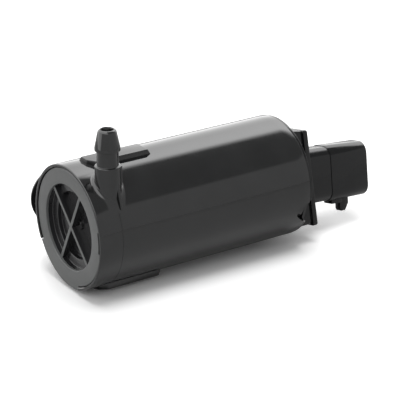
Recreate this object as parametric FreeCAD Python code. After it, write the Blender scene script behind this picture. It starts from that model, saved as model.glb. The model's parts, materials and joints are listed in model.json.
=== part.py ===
import FreeCAD, Part
import math
import os

# Windshield washer pump, in millimetres. X runs along the pump from the face of the end cap (X = 0)
# to the connector, +Y is the side of the inlet spigot and +Z is the way the outlet barb points.
# Angles about X are in degrees from +Z towards -Y.

Vector = FreeCAD.Vector

# Fits, and how far shapes run into each other before they are joined or cut
slip = 0.05
line_fit = 0.01
running = 0.03
seam = 0.1
bite = 0.2
over = 1.0

# Housing
housing_r = 19.0
housing_wall = 1.8
rim_proud = 0.35
rim_wall = 0.9
rib_count = 6
rib_height = 3.1
rib_width = 1.6
rib_end_gap = 8.0
rib_lead_in = 2.5
notch_angle = 108.0
notch_depth = 3.9
notch_floor = 2.6
notch_mouth = 8.6

# Locking ramps, above and below
ramp_front = 6.0
ramp_length = 20.4
ramp_height = 1.25
ramp_flank_y = -3.9
ramp_crest = 5.9
ramp_run_out = 1.5
ramp_corner = 1.7
ramp_corner_reach = 2.7
ramp_slant = 1.1
ramp_key_turn = 15.6

# End cap
flange_depth = 3.0
cap_plug_depth = 2.2
recess_wall = 4.1
ledge_depth = 2.35
ledge_width = 2.85
floor_depth = 3.75
cap_boss_r = 2.0
cap_boss_height = 0.6
cap_rib_width = 1.1
cap_rib_drop = 0.75
cap_rib_angles = (-44.0, 27.0)
tab_angles = (164.0, 240.0)
slit_angles = (75.0, 95.0)
slit_depth = 1.2
slit_width = 0.5

# Pump chamber
chamber_depth = 3.5
divider_thickness = 1.2
chamber_wall = 4.0
tongue_inset = 0.18
tongue_tip = 0.3
volute_growth = 2.3
volute_arcs = 4
eye_r = 4.2
gallery_depth = 4.9
gallery_step = 1.6

# Outlet barb
outlet_bore_r = 1.7
outlet_boss_r = 3.8
outlet_boss_height = 2.8
outlet_neck_r = 3.2
outlet_neck_length = 4.5
barb_length = 6.4
barb_r = 3.77
barb_undercut = 0.3
barb_land = 0.6
barb_tip_r = 2.6
barb_round = 0.6
keel_width = 0.9
keel_reach = 1.5
keel_drop = 8.3
keel_top = 4.0
fin_drop = 4.15

# Inlet spigot
inlet_x = 10.0
inlet_bore_r = 4.6
inlet_neck_r = 6.5
inlet_lip_r = 9.2
inlet_lip_thickness = 1.1
inlet_height = 5.6
inlet_round = 0.35
filter_seat_wall = 1.0
filter_step = 0.7
filter_thickness = 1.2
filter_rim = 0.8
filter_bar = 0.5
filter_bars = 4

# Impeller
tongue_gap = 1.1
impeller_gap = 0.4
impeller_plate = 0.8
impeller_top_gap = 0.35
impeller_hub_r = 2.4
vane_count = 6
vane_width = 0.8
vane_root_r = 2.2
vane_tip_gap = 0.2
vane_sweep = 52.0
vane_mid_share = 0.38

# Shaft, seal and bearings
shaft_r = 1.15
shaft_chamfer = 0.25
bulkhead_thickness = 2.6
bulkhead_web = 0.8
seal_r = 5.0
seal_depth = 2.2
seal_wall = 1.1
seal_lip = 1.0
seal_lip_drop = 0.3
seal_base = 0.8
seal_washer_thickness = 0.4
seal_washer_hole_r = 2.1
seal_boss_wall = 1.6
bearing_r = 3.0
bearing_length = 2.7
bearing_nose_wall = 0.5
bearing_hole_r = 1.8
bearing_boss_r = 4.0

# Motor
can_wall = 1.0
vent_r = 1.5
magnet_thickness = 2.75
magnet_front = 6.6
magnet_length = 26.0
magnet_half_angle = 62.0
clip_thickness = 0.5
clip_leg = 1.7
clip_length = 14.0
air_gap = 0.5
core_setback = 3.0
core_hub_wall = 1.4
pole_count = 3
pole_neck = 3.0
shoe_thickness = 1.6
shoe_half_angle = 50.0
winding_width = 1.8
winding_overhang = 2.2
winding_gap = 0.1
winding_round = 1.25
comm_r = 3.2
comm_hub_r = 2.3
comm_hub_overhang = 0.4
comm_length = 4.4
comm_end_gap = 0.7
comm_gap = 6.0
riser_height = 0.9
riser_width = 1.4
riser_length = 0.8
washer_r = 2.6
washer_thickness = 0.5

# Brush gear
brush_width = 2.4
brush_length = 2.8
brush_height = 2.3
brush_inset = 0.8
brush_gap = 0.6
arm_thickness = 0.35
arm_clearance = 1.07
arm_anchor = 2.4
bell_thickness = 2.5
bell_flange = 1.2
bell_boss_length = 2.8
terminal_width = 2.8
terminal_thickness = 0.5
terminal_tail = 9.0

# Connector cap
cap_depth = 15.5
band_step = 0.1
band_length = 0.9
skirt_wall = 1.75
seal_groove_back = 8.15
seal_groove_width = 1.5
seal_groove_depth = 1.1
connector_roll = 13.0
neck_length = 4.9
neck_inset = 1.2
roof_drop = 1.5
plate_thickness = 1.7
plate_half_width = 10.2
plate_top = 13.5
plate_bottom = -16.8
plate_corner = 0.8
shroud_tilt = 4.0
shroud_side = -8.4
shroud_width = 11.5
shroud_height = 18.0
shroud_mid = -2.1
shroud_length = 23.5
shroud_corner = 4.0
shroud_wall = 1.4
shroud_draft = 0.9
shroud_step = 0.25
shroud_step_at = 9.0
shroud_mouth_chamfer = 0.3
socket_floor = 4.5
blade_pitch = 7.2
blade_width = 2.8
blade_thickness = 0.8
blade_reach = 9.0
blade_nose = 0.9
bus_thickness = 0.8
bus_setback = 0.4
bus_width = 4.4
latch_at = 14.7
latch_length = 3.4
latch_height = 4.0
latch_width = 2.6
latch_nose = 0.72
latch_ramp = 0.4
latch_flat = 1.6
latch_back = 1.7
latch_rail = 3.8
latch_rail_width = 4.2
latch_rail_height = 1.1

# Radii and heights that follow from the sizes above
bore_r = housing_r - housing_wall
rim_r = housing_r - rim_wall
recess_r = bore_r - recess_wall
ledge_inner_r = recess_r - ledge_width
volute_end_r = bore_r - chamber_wall
volute_start_r = volute_end_r - volute_growth
impeller_r = volute_start_r - tongue_gap
gallery_r = bore_r - gallery_step
outlet_offset = volute_end_r - outlet_bore_r
tongue_reach = outlet_offset - outlet_bore_r - tongue_inset
tongue_angle = math.degrees(math.asin(tongue_reach / volute_start_r))
outlet_boss_top = housing_r + outlet_boss_height
barb_base = outlet_boss_top + outlet_neck_length
barb_tip = barb_base + barb_length
filter_r = inlet_bore_r - slip
filter_seat = bore_r + filter_seat_wall
inlet_reach = housing_r + inlet_height
can_r = bore_r - rib_height
can_inner_r = can_r - can_wall
vent_pitch_r = (bearing_boss_r + can_inner_r) / 2
magnet_inner_r = can_inner_r - line_fit - magnet_thickness
core_r = magnet_inner_r - air_gap
core_hub_r = shaft_r + core_hub_wall
brush_top = comm_r + running + brush_height
terminal_top = brush_top + arm_thickness + terminal_thickness
arm_reach = math.sqrt((can_inner_r - arm_clearance) ** 2 - terminal_top ** 2)
skirt_r = bore_r - slip
skirt_inner_r = skirt_r - skirt_wall
band_r = housing_r - band_step
roof_height = housing_r - roof_drop
shroud_centre = shroud_side + shroud_width / 2

# Places along X that follow from the sizes above
housing_front = -rim_proud
insert_front = flange_depth + cap_plug_depth
outlet_x = insert_front + chamber_depth / 2
divider_front = insert_front + chamber_depth
gallery_front = divider_front + divider_thickness
bulkhead_front = gallery_front + gallery_depth
boss_front = bulkhead_front - seal_depth - seal_washer_thickness
bearing_front = bulkhead_front + bulkhead_web + slip + bearing_nose_wall
can_front = bulkhead_front + bulkhead_thickness
magnet_x = can_front + magnet_front
core_x = magnet_x + core_setback
core_length = magnet_length - 2 * core_setback
comm_x = magnet_x + magnet_length + brush_gap - brush_inset
bell_front = comm_x + comm_length + comm_end_gap
can_rear = bell_front + bell_thickness
bell_rear = can_rear + bell_flange
rear_bearing_front = bell_rear - bearing_length
boss_rear = bell_rear + bell_boss_length
shaft_front = insert_front + impeller_gap + impeller_plate / 2
shaft_rear = bell_rear + bell_boss_length / 2
rib_end = can_rear - rib_end_gap
skirt_front = bell_rear + slip
bus_x = bell_rear + terminal_tail - bus_thickness - bus_setback
housing_rear = skirt_front + cap_depth
seal_groove_x = housing_rear - seal_groove_back
band_rear = housing_rear + band_length
plate_front = band_rear + neck_length
plate_rear = plate_front + plate_thickness


def polar(x, radius, angle):
    """A point at a radius and angle about the pump's axis."""
    a = math.radians(angle)
    return Vector(x, -radius * math.sin(a), radius * math.cos(a))


def rod(radius, x0, x1):
    """A round bar along the pump's axis."""
    return Part.makeCylinder(radius, x1 - x0, Vector(x0, 0, 0), Vector(1, 0, 0))


def ring(outer, inner, x0, x1):
    """A round bar with a hole right through."""
    return rod(outer, x0, x1).cut(rod(inner, x0 - over, x1 + over))


def block(x0, x1, y0, y1, z0, z1):
    """A box between two corners."""
    return Part.makeBox(x1 - x0, y1 - y0, z1 - z0, Vector(x0, y0, z0))


def turned(shape, angle):
    """A copy turned about the pump's axis."""
    copy = shape.copy()
    copy.rotate(Vector(0, 0, 0), Vector(1, 0, 0), angle)
    return copy


def outline(points):
    """A flat face inside straight edges."""
    return Part.Face(Part.makePolygon(points + points[:1]))


def spun(profile):
    """A closed profile of (x, radius) points turned about the pump's axis."""
    face = outline([Vector(x, 0, r) for x, r in profile])
    return face.revolve(Vector(0, 0, 0), Vector(1, 0, 0), 360)


def sector(outer, inner, x0, x1, start, end):
    """Part of a ring between two angles."""
    mid = (start + end) / 2
    edges = [
        Part.Arc(polar(x0, outer, start), polar(x0, outer, mid), polar(x0, outer, end)).toShape(),
        Part.makeLine(polar(x0, outer, end), polar(x0, inner, end)),
        Part.Arc(polar(x0, inner, end), polar(x0, inner, mid), polar(x0, inner, start)).toShape(),
        Part.makeLine(polar(x0, inner, start), polar(x0, outer, start)),
    ]
    return Part.Face(Part.Wire(edges)).extrude(Vector(x1 - x0, 0, 0))


def rounded_rectangle(x, y0, y1, z0, z1, radius):
    """A wire across the pump's axis with round corners."""
    cut = radius * (1 - math.sqrt(0.5))
    corners = [
        (Vector(x, y1, z1 - radius), Vector(x, y1 - cut, z1 - cut), Vector(x, y1 - radius, z1)),
        (Vector(x, y0 + radius, z1), Vector(x, y0 + cut, z1 - cut), Vector(x, y0, z1 - radius)),
        (Vector(x, y0, z0 + radius), Vector(x, y0 + cut, z0 + cut), Vector(x, y0 + radius, z0)),
        (Vector(x, y1 - radius, z0), Vector(x, y1 - cut, z0 + cut), Vector(x, y1, z0 + radius)),
    ]
    edges = []
    for i, (start, mid, end) in enumerate(corners):
        edges.append(Part.Arc(start, mid, end).toShape())
        edges.append(Part.makeLine(end, corners[(i + 1) % 4][0]))
    return Part.Wire(edges)


def connector_frame(shape):
    """Moves a shape from the connector's own frame, with X = 0 at the plate, to the pump."""
    copy = shape.copy()
    copy.rotate(Vector(0, 0, 0), Vector(0, 1, 0), shroud_tilt)
    copy.translate(Vector(plate_rear, 0, 0))
    return turned(copy, -connector_roll)


def joined(shapes):
    """One solid from several that meet."""
    first, *rest = shapes
    return first.fuse(rest).removeSplitter()


# Housing
def locking_ramp():
    """A ramp on top of the barrel with a steep flank, a flat crest and a long run-out."""
    crest_z = housing_r + ramp_height
    crest_end = ramp_flank_y + ramp_crest
    foot_z = housing_r - housing_wall / 2
    section = outline([
        Vector(ramp_front, ramp_flank_y, foot_z),
        Vector(ramp_front, ramp_flank_y, crest_z),
        Vector(ramp_front, crest_end, crest_z),
        Vector(ramp_front, crest_end + ramp_run_out, housing_r - ramp_height / 2),
        Vector(ramp_front, crest_end + ramp_run_out, foot_z - ramp_height / 2),
    ])
    ramp = section.extrude(Vector(ramp_length, 0, 0))
    corner = outline([
        Vector(ramp_front, ramp_flank_y - over, 0),
        Vector(ramp_front + ramp_corner, ramp_flank_y - over, 0),
        Vector(ramp_front + ramp_corner, ramp_flank_y, 0),
        Vector(ramp_front, ramp_flank_y + ramp_corner_reach, 0),
    ]).extrude(Vector(0, 0, 2 * housing_r))
    rear = ramp_front + ramp_length
    slant = outline([
        Vector(rear - ramp_slant, -housing_r, crest_z),
        Vector(rear, -housing_r, housing_r - ramp_slant / 2),
        Vector(rear + over, -housing_r, housing_r),
        Vector(rear + over, -housing_r, crest_z + over),
        Vector(rear - ramp_slant, -housing_r, crest_z + over),
    ]).extrude(Vector(0, 2 * housing_r, 0))
    return ramp.cut(corner).cut(slant)


def outlet_barb():
    """The upright nozzle: boss, neck, hose barb and rounded tip, with its keel and fin."""
    profile = [
        (0, 0), (outlet_boss_r, 0),
        (outlet_boss_r, outlet_boss_top - barb_undercut),
        (outlet_boss_r - barb_undercut, outlet_boss_top),
        (outlet_neck_r, outlet_boss_top),
        (outlet_neck_r, barb_base),
        (barb_r, barb_base + barb_undercut),
        (barb_r, barb_base + barb_undercut + barb_land),
        (barb_tip_r, barb_tip - barb_round),
        (barb_tip_r - barb_round, barb_tip),
        (0, barb_tip),
    ]
    face = outline([Vector(r, 0, z) for r, z in profile])
    nozzle = face.revolve(Vector(0, 0, 0), Vector(0, 0, 1), 360)
    top = outlet_boss_top - keel_top
    keel = outline([
        Vector(keel_width, -outlet_boss_r + keel_width, top),
        Vector(keel_width, -outlet_boss_r - keel_reach, top - keel_drop),
        Vector(keel_width, 0, top - keel_drop),
        Vector(keel_width, 0, top),
    ]).extrude(Vector(keel_width, 0, 0))
    fin_reach = outlet_boss_r + keel_width / 2
    fin = block(0, fin_reach, -keel_width, 0, top - fin_drop, outlet_boss_top - keel_width)
    spout = joined([nozzle, keel, fin])
    spout.translate(Vector(outlet_x, -outlet_offset, 0))
    return spout


def inlet_spigot():
    """The side neck with a lip that snaps into the tank's grommet."""
    lip_y = inlet_reach - inlet_lip_thickness
    profile = [
        (0, gallery_r), (inlet_neck_r, gallery_r), (inlet_neck_r, lip_y),
        (inlet_lip_r, lip_y),
        (inlet_lip_r, inlet_reach - inlet_round),
        (inlet_lip_r - inlet_round, inlet_reach),
        (0, inlet_reach),
    ]
    face = outline([Vector(r, y, 0) for r, y in profile])
    spigot = face.revolve(Vector(0, 0, 0), Vector(0, 1, 0), 360)
    spigot.translate(Vector(inlet_x, 0, 0))
    return spigot


def rear_notch():
    """The slanted notch in the housing's rear edge."""
    bottom = housing_rear - notch_depth
    near = notch_mouth * 0.4
    far = notch_mouth * 0.6
    points = [(housing_rear + over, -near), (bottom, -notch_floor / 2), (bottom, notch_floor / 2),
              (housing_rear - notch_depth / 4, far - notch_depth / 4), (housing_rear + over, far)]
    face = outline([Vector(x, -t, bore_r - housing_wall) for x, t in points])
    return turned(face.extrude(Vector(0, 0, 3 * housing_wall)), notch_angle)


def housing():
    """The barrel moulding with its nozzles, ramps, wet end and motor ribs."""
    ramp = locking_ramp()
    under = turned(ramp.mirror(Vector(0, 0, 0), Vector(0, 0, 1)), -ramp_key_turn)
    shell = joined([rod(housing_r, housing_front, housing_rear), ramp, under, outlet_barb(), inlet_spigot()])
    shell = shell.cut(rod(rim_r, housing_front - over, flange_depth))
    shell = shell.cut(rod(bore_r, flange_depth - over, gallery_front))
    gallery = rod(gallery_r, gallery_front - over, bulkhead_front)
    gallery = gallery.cut(rod(seal_r + seal_boss_wall, boss_front, bulkhead_front))
    shell = shell.cut(gallery)
    shell = shell.cut(rod(seal_r, boss_front - over, bulkhead_front))
    shell = shell.cut(rod(bearing_hole_r, bulkhead_front - over, can_front))
    shell = shell.cut(rod(bearing_boss_r + slip, bulkhead_front + bulkhead_web, can_front + over))
    shell = shell.cut(rod(bore_r, can_front, housing_rear + over))
    shell = shell.cut(sector(housing_r + over, bore_r, housing_front - over, flange_depth, *tab_angles))
    shell = shell.cut(rear_notch())
    outlet = Part.makeCylinder(outlet_bore_r, barb_tip + over, Vector(outlet_x, -outlet_offset, 0))
    inlet = Part.makeCylinder(inlet_bore_r, inlet_reach, Vector(inlet_x, filter_seat, 0), Vector(0, 1, 0))
    throat_y = gallery_r - over
    throat = Part.makeCylinder(inlet_bore_r - filter_step, filter_seat - throat_y + bite,
                               Vector(inlet_x, throat_y, 0), Vector(0, 1, 0))
    shell = shell.cut(outlet).cut(inlet).cut(throat)
    rib_foot = bore_r + housing_wall / 2
    rib = outline([
        Vector(can_front - bite, -rib_width / 2, can_r + slip),
        Vector(rib_end - rib_lead_in, -rib_width / 2, can_r + slip),
        Vector(rib_end, -rib_width / 2, rib_foot),
        Vector(can_front - bite, -rib_width / 2, rib_foot),
    ]).extrude(Vector(0, rib_width, 0))
    ribs = [turned(rib, i * 360 / rib_count + 180 / rib_count) for i in range(rib_count)]
    return joined([shell] + ribs)


# Wet end
def end_cap():
    """The flat cap with its round recess, cross ribs and the tab that fills the rim's gap."""
    cap = joined([
        rod(rim_r - seam, 0, flange_depth - slip),
        rod(bore_r - slip, bite, insert_front),
        sector(housing_r - slip, bore_r - over, 0, flange_depth - slip,
               tab_angles[0] + 2 * slip, tab_angles[1] - 2 * slip),
    ])
    cap = cap.cut(rod(recess_r, -over, ledge_depth)).cut(rod(ledge_inner_r, 0, floor_depth))
    slit = sector(rim_r + over, rim_r - slit_width, -over, slit_depth, *slit_angles)
    reach = recess_r + bite
    bar = block(cap_rib_drop, floor_depth + bite, -cap_rib_width / 2, cap_rib_width / 2, -reach, reach)
    bars = [turned(bar, angle) for angle in cap_rib_angles]
    boss = rod(cap_boss_r, floor_depth - cap_boss_height, floor_depth + bite)
    return joined([cap.cut(slit), boss] + bars)


def volute_insert():
    """The cup that holds the spiral pump chamber and its centre eye."""
    cup = rod(bore_r - slip, insert_front, gallery_front)
    x = insert_front - over
    sweep = 270 + tongue_angle
    points = []
    for i in range(2 * volute_arcs + 1):
        share = i / (2 * volute_arcs)
        points.append(polar(x, volute_start_r + volute_growth * share, tongue_angle - sweep * share))
    edges = [Part.Arc(*points[i:i + 3]).toShape() for i in range(0, 2 * volute_arcs, 2)]
    inner_y = outlet_bore_r - outlet_offset
    corners = [points[-1], Vector(x, -volute_end_r, housing_r), Vector(x, inner_y, housing_r),
               Vector(x, inner_y, points[0].z + tongue_tip), points[0]]
    edges += [Part.makeLine(start, end) for start, end in zip(corners, corners[1:])]
    chamber = Part.Face(Part.Wire(edges)).extrude(Vector(chamber_depth + over, 0, 0))
    return cup.cut(chamber).cut(rod(eye_r, insert_front, gallery_front + over))


def inlet_filter():
    """The strainer disc that stands on the shoulder in the spigot."""
    disc = Part.makeCylinder(filter_r, filter_thickness, Vector(0, 0, 0), Vector(0, 1, 0))
    window = Part.makeCylinder(filter_r - filter_rim, filter_thickness, Vector(0, 0, 0), Vector(0, 1, 0))
    bars = []
    pitch = 2 * filter_r / (filter_bars + 1)
    for i in range(filter_bars):
        near = -filter_r + pitch * (i + 1) - filter_bar / 2
        far = near + filter_bar
        bars.append(block(near, far, 0, filter_bar, -filter_r, filter_r))
        bars.append(block(-filter_r, filter_r, filter_bar, 2 * filter_bar, near, far))
    grid = joined(bars).common(window)
    strainer = joined([disc.cut(window), grid])
    strainer.translate(Vector(inlet_x, filter_seat, 0))
    return strainer


def impeller():
    """A back plate with swept vanes on a blind hub."""
    front = insert_front + impeller_gap
    vane_front = front + impeller_plate
    rear = divider_front - impeller_top_gap
    tip_r = impeller_r - vane_tip_gap
    mid_r = (vane_root_r + tip_r) / 2
    stations = [(vane_root_r, 0.0), (mid_r, vane_sweep * vane_mid_share), (tip_r, vane_sweep)]
    left = []
    right = []
    for radius, angle in stations:
        half = math.degrees(vane_width / 2 / radius)
        left.append(polar(vane_front - bite, radius, angle + half))
        right.append(polar(vane_front - bite, radius, angle - half))
    wire = Part.Wire([
        Part.Arc(left[0], left[1], left[2]).toShape(),
        Part.makeLine(left[2], right[2]),
        Part.Arc(right[2], right[1], right[0]).toShape(),
        Part.makeLine(right[0], left[0]),
    ])
    vane = Part.Face(wire).extrude(Vector(rear - vane_front + bite, 0, 0))
    vanes = [turned(vane, i * 360 / vane_count) for i in range(vane_count)]
    wheel = joined([rod(impeller_r, front, vane_front), rod(impeller_hub_r, front, rear)] + vanes)
    return wheel.cut(rod(shaft_r + line_fit, shaft_front, rear + over))


def shaft_seal():
    """A lip seal whose groove opens to the wet side."""
    front = bulkhead_front - seal_depth
    lip_r = shaft_r + running
    outer = seal_r - line_fit
    return spun([
        (front, outer), (bulkhead_front, outer), (bulkhead_front, lip_r),
        (front + seal_lip_drop, lip_r), (front + seal_lip_drop, lip_r + seal_lip / 2),
        (bulkhead_front - seal_base, lip_r + seal_lip), (bulkhead_front - seal_base, outer - seal_wall),
        (front, outer - seal_wall),
    ])


def seal_washer():
    """The steel ring pressed in over the seal."""
    return ring(seal_r - line_fit, seal_washer_hole_r, boss_front, boss_front + seal_washer_thickness)


# Motor
def motor_can():
    """The drawn steel can with its bearing nose and vent holes."""
    nose = bearing_front - bearing_nose_wall
    can = spun([
        (nose, bearing_hole_r), (nose, bearing_boss_r), (can_front, bearing_boss_r),
        (can_front, can_r), (can_rear, can_r), (can_rear, can_inner_r),
        (can_front + can_wall, can_inner_r), (can_front + can_wall, bearing_r + line_fit),
        (bearing_front, bearing_r + line_fit), (bearing_front, bearing_hole_r),
    ])
    for angle in (90, 270):
        centre = polar(can_front - over, vent_pitch_r, angle)
        can = can.cut(Part.makeCylinder(vent_r, can_wall + 2 * over, centre, Vector(1, 0, 0)))
    return can


def bearing(front):
    """A sintered bush."""
    return ring(bearing_r, shaft_r + running, front, front + bearing_length)


def magnet(middle):
    """A field magnet that lies against the can."""
    return sector(can_inner_r - line_fit, magnet_inner_r, magnet_x, magnet_x + magnet_length,
                  middle - magnet_half_angle, middle + magnet_half_angle)


def magnet_clip(middle):
    """The spring clip that pushes the two magnets apart."""
    half = 90 - magnet_half_angle - math.degrees(line_fit / magnet_inner_r)
    outer = can_inner_r - line_fit
    front = magnet_x + (magnet_length - clip_length) / 2
    rear = front + clip_length
    leg_angle = math.degrees(clip_thickness / outer)
    back = sector(outer, outer - clip_thickness, front, rear, middle - half, middle + half)
    legs = [
        sector(outer - bite, outer - clip_leg, front, rear, middle - half, middle - half + leg_angle),
        sector(outer - bite, outer - clip_leg, front, rear, middle + half - leg_angle, middle + half),
    ]
    return joined([back] + legs)


def rotor_shaft():
    """The ground steel shaft."""
    return spun([
        (shaft_front, 0), (shaft_front, shaft_r - shaft_chamfer), (shaft_front + shaft_chamfer, shaft_r),
        (shaft_rear - shaft_chamfer, shaft_r), (shaft_rear, shaft_r - shaft_chamfer), (shaft_rear, 0),
    ])


def armature_core():
    """The stack of laminations: a hub with T-shaped poles."""
    rear = core_x + core_length
    shoe_r = core_r - shoe_thickness
    pieces = [rod(core_hub_r, core_x, rear)]
    neck = block(core_x, rear, -pole_neck / 2, pole_neck / 2, 0, shoe_r + bite)
    shoe = sector(core_r, shoe_r, core_x, rear, -shoe_half_angle, shoe_half_angle)
    for i in range(pole_count):
        pieces.append(turned(neck, i * 360 / pole_count))
        pieces.append(turned(shoe, i * 360 / pole_count))
    return joined(pieces).cut(rod(shaft_r + line_fit, core_x - over, rear + over))


def winding(index):
    """The coil wound round one pole."""
    rear = core_x + core_length
    inner = pole_neck / 2 + line_fit
    outer = inner + winding_width
    bottom = core_hub_r + winding_gap
    top = math.sqrt((core_r - shoe_thickness - winding_gap) ** 2 - outer ** 2)
    coil = block(core_x - winding_overhang, rear + winding_overhang, -outer, outer, bottom, top)
    ends = [edge for edge in coil.Edges if abs(edge.Vertexes[0].Z - edge.Vertexes[1].Z) > line_fit]
    coil = coil.makeFillet(winding_round, ends)
    slot = block(core_x - line_fit, rear + line_fit, -inner, inner, bottom - over, top + over)
    return turned(coil.cut(slot), index * 360 / pole_count)


def commutator_hub():
    """The moulded hub that carries the copper segments."""
    front = comm_x - comm_hub_overhang
    return ring(comm_hub_r, shaft_r + line_fit, front, comm_x + comm_length + comm_hub_overhang)


def commutator_segments():
    """The copper segments with the risers that take the wire ends."""
    half = 180 / pole_count - comm_gap / 2
    rear = comm_x + comm_length
    segments = []
    for i in range(pole_count):
        middle = i * 360 / pole_count
        segment = sector(comm_r, comm_hub_r + line_fit, comm_x, rear, middle - half, middle + half)
        riser = block(comm_x, comm_x + riser_length, -riser_width / 2, riser_width / 2,
                      comm_r - bite, comm_r + riser_height)
        segments.append(joined([segment, turned(riser, middle)]))
    return Part.makeCompound(segments)


def thrust_washer(front):
    """A fibre washer on the shaft."""
    return ring(washer_r, shaft_r + line_fit, front, front + washer_thickness)


# Brush gear, where angle 0 is the upper side and 180 the lower
def brush(angle):
    """A carbon block hollowed to the commutator."""
    front = comm_x + brush_inset
    body = block(front, front + brush_width, -brush_length / 2, brush_length / 2, 0, brush_top)
    return turned(body.cut(rod(comm_r + running, comm_x, comm_x + comm_length)), angle)


def brush_arm(angle):
    """The leaf spring that presses a brush, anchored at the end bell."""
    front = comm_x + brush_inset
    top = brush_top + arm_thickness
    leaf = block(front, front + brush_width, -arm_reach, brush_length / 2, brush_top, top)
    anchor = block(front, bell_front, -arm_reach, -arm_reach + arm_anchor, brush_top, top)
    return turned(joined([leaf, anchor]), angle)


def terminal_box(x0, x1, clearance):
    """The space of a motor terminal, which lies on its arm's anchor."""
    side = -arm_reach + arm_anchor / 2
    low = brush_top + arm_thickness
    half = terminal_width / 2 + clearance
    return block(x0, x1, side - half, side + half, low - clearance, low + terminal_thickness + clearance)


def motor_terminal(angle):
    """The flat blade that leaves the motor through the end bell."""
    blade = terminal_box(bell_front - arm_anchor / 2, bell_rear + terminal_tail, 0)
    return turned(blade, angle)


def end_bell():
    """The plastic end of the motor, with the rear bearing's seat and the terminal slots."""
    bell = spun([
        (bell_front, 0), (bell_front, can_inner_r - slip), (can_rear, can_inner_r - slip),
        (can_rear, can_r), (bell_rear, can_r), (bell_rear, bearing_boss_r),
        (boss_rear, bearing_boss_r), (boss_rear, 0),
    ])
    bell = bell.cut(rod(bearing_r + line_fit, bell_front - over, rear_bearing_front + bearing_length))
    bell = bell.cut(rod(bearing_hole_r, bell_front - over, boss_rear - bell_flange))
    for angle in (0, 180):
        bell = bell.cut(turned(terminal_box(bell_front - over, boss_rear + over, line_fit), angle))
    return bell


# Connector cap
def shroud_solid(length, width, height, corner, start, step):
    """A drafted box with round corners, in the connector's own frame."""
    slope = math.tan(math.radians(shroud_draft))
    wires = []
    for x in (start, length):
        shrink = slope * x + step
        half_w = width / 2 - shrink
        half_h = height / 2 - shrink
        wires.append(rounded_rectangle(x, shroud_centre - half_w, shroud_centre + half_w,
                                       shroud_mid - half_h, shroud_mid + half_h, corner - shrink))
    return Part.makeLoft(wires, True, True)


def latch():
    """The catch under the shroud and the rail behind it."""
    low = shroud_mid - shroud_height / 2
    top = low + shroud_wall
    tip = low - latch_height
    end = latch_at + latch_length
    wedge = outline([
        Vector(latch_at, 0, top), Vector(latch_at, 0, tip + latch_nose),
        Vector(latch_at + latch_ramp, 0, tip), Vector(latch_at + latch_ramp + latch_flat, 0, tip),
        Vector(end, 0, low - latch_back), Vector(end, 0, top),
    ]).extrude(Vector(0, latch_width, 0))
    wedge.translate(Vector(0, shroud_centre - latch_width / 2, 0))
    rail_half = latch_rail_width / 2
    rail = block(latch_at - latch_rail, latch_at + bite, shroud_centre - rail_half, shroud_centre + rail_half,
                 low - latch_rail_height, top)
    return joined([wedge, rail])


def blade_box(x0, x1, side, clearance):
    """A contact blade in the connector's own frame, side +1 above and -1 below."""
    middle = shroud_mid + side * blade_pitch / 2
    half_t = blade_thickness / 2 + clearance
    half_w = blade_width / 2 + clearance
    return block(x0, x1, shroud_centre - half_t, shroud_centre + half_t, middle - half_w, middle + half_w)


def connector_blade(side):
    """A stamped strip from a motor terminal to its blade in the socket."""
    tail = bus_x - plate_rear
    tip = socket_floor + blade_reach
    blade = blade_box(tail, tip, side, 0)
    middle = shroud_mid + side * blade_pitch / 2
    low = middle - blade_width / 2
    nose = outline([
        Vector(tip - 2 * blade_nose, shroud_centre, low - over),
        Vector(tip + over, shroud_centre, low - over),
        Vector(tip + over, shroud_centre, low + 2 * blade_nose),
        Vector(tip, shroud_centre, low + blade_nose),
        Vector(tip - 2 * blade_nose, shroud_centre, low),
    ])
    nose.translate(Vector(0, -blade_thickness, 0))
    nose = nose.extrude(Vector(0, 2 * blade_thickness, 0))
    far_nose = nose.mirror(Vector(0, 0, middle), Vector(0, 0, 1))
    blade = connector_frame(blade.cut(nose).cut(far_nose))
    foot = connector_frame(Part.Vertex(tail + bus_thickness, shroud_centre, middle)).Point
    angle = 0 if side > 0 else 180
    pin = turned(Part.Vertex(0, -arm_reach + arm_anchor / 2,
                             brush_top + arm_thickness + terminal_thickness / 2), angle).Point
    start = Vector(bus_x, foot.y, foot.z)
    end = Vector(bus_x, pin.y, pin.z)
    across = (end - start).cross(Vector(1, 0, 0)).normalize() * (bus_width / 2)
    strip = outline([start + across, end + across, end - across, start - across])
    strip = strip.extrude(Vector(bus_thickness, 0, 0))
    pads = [Part.makeCylinder(bus_width / 2, bus_thickness, at, Vector(1, 0, 0)) for at in (start, end)]
    slot = turned(terminal_box(bus_x - over, bus_x + bus_thickness + over, line_fit), angle)
    return joined([strip, blade] + pads).cut(slot)


def cap_seal():
    """The square-cut seal ring in the skirt's groove."""
    groove_r = skirt_r - seal_groove_depth
    return ring(bore_r - line_fit, groove_r + line_fit,
                seal_groove_x + line_fit, seal_groove_x + seal_groove_width - line_fit)


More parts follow.
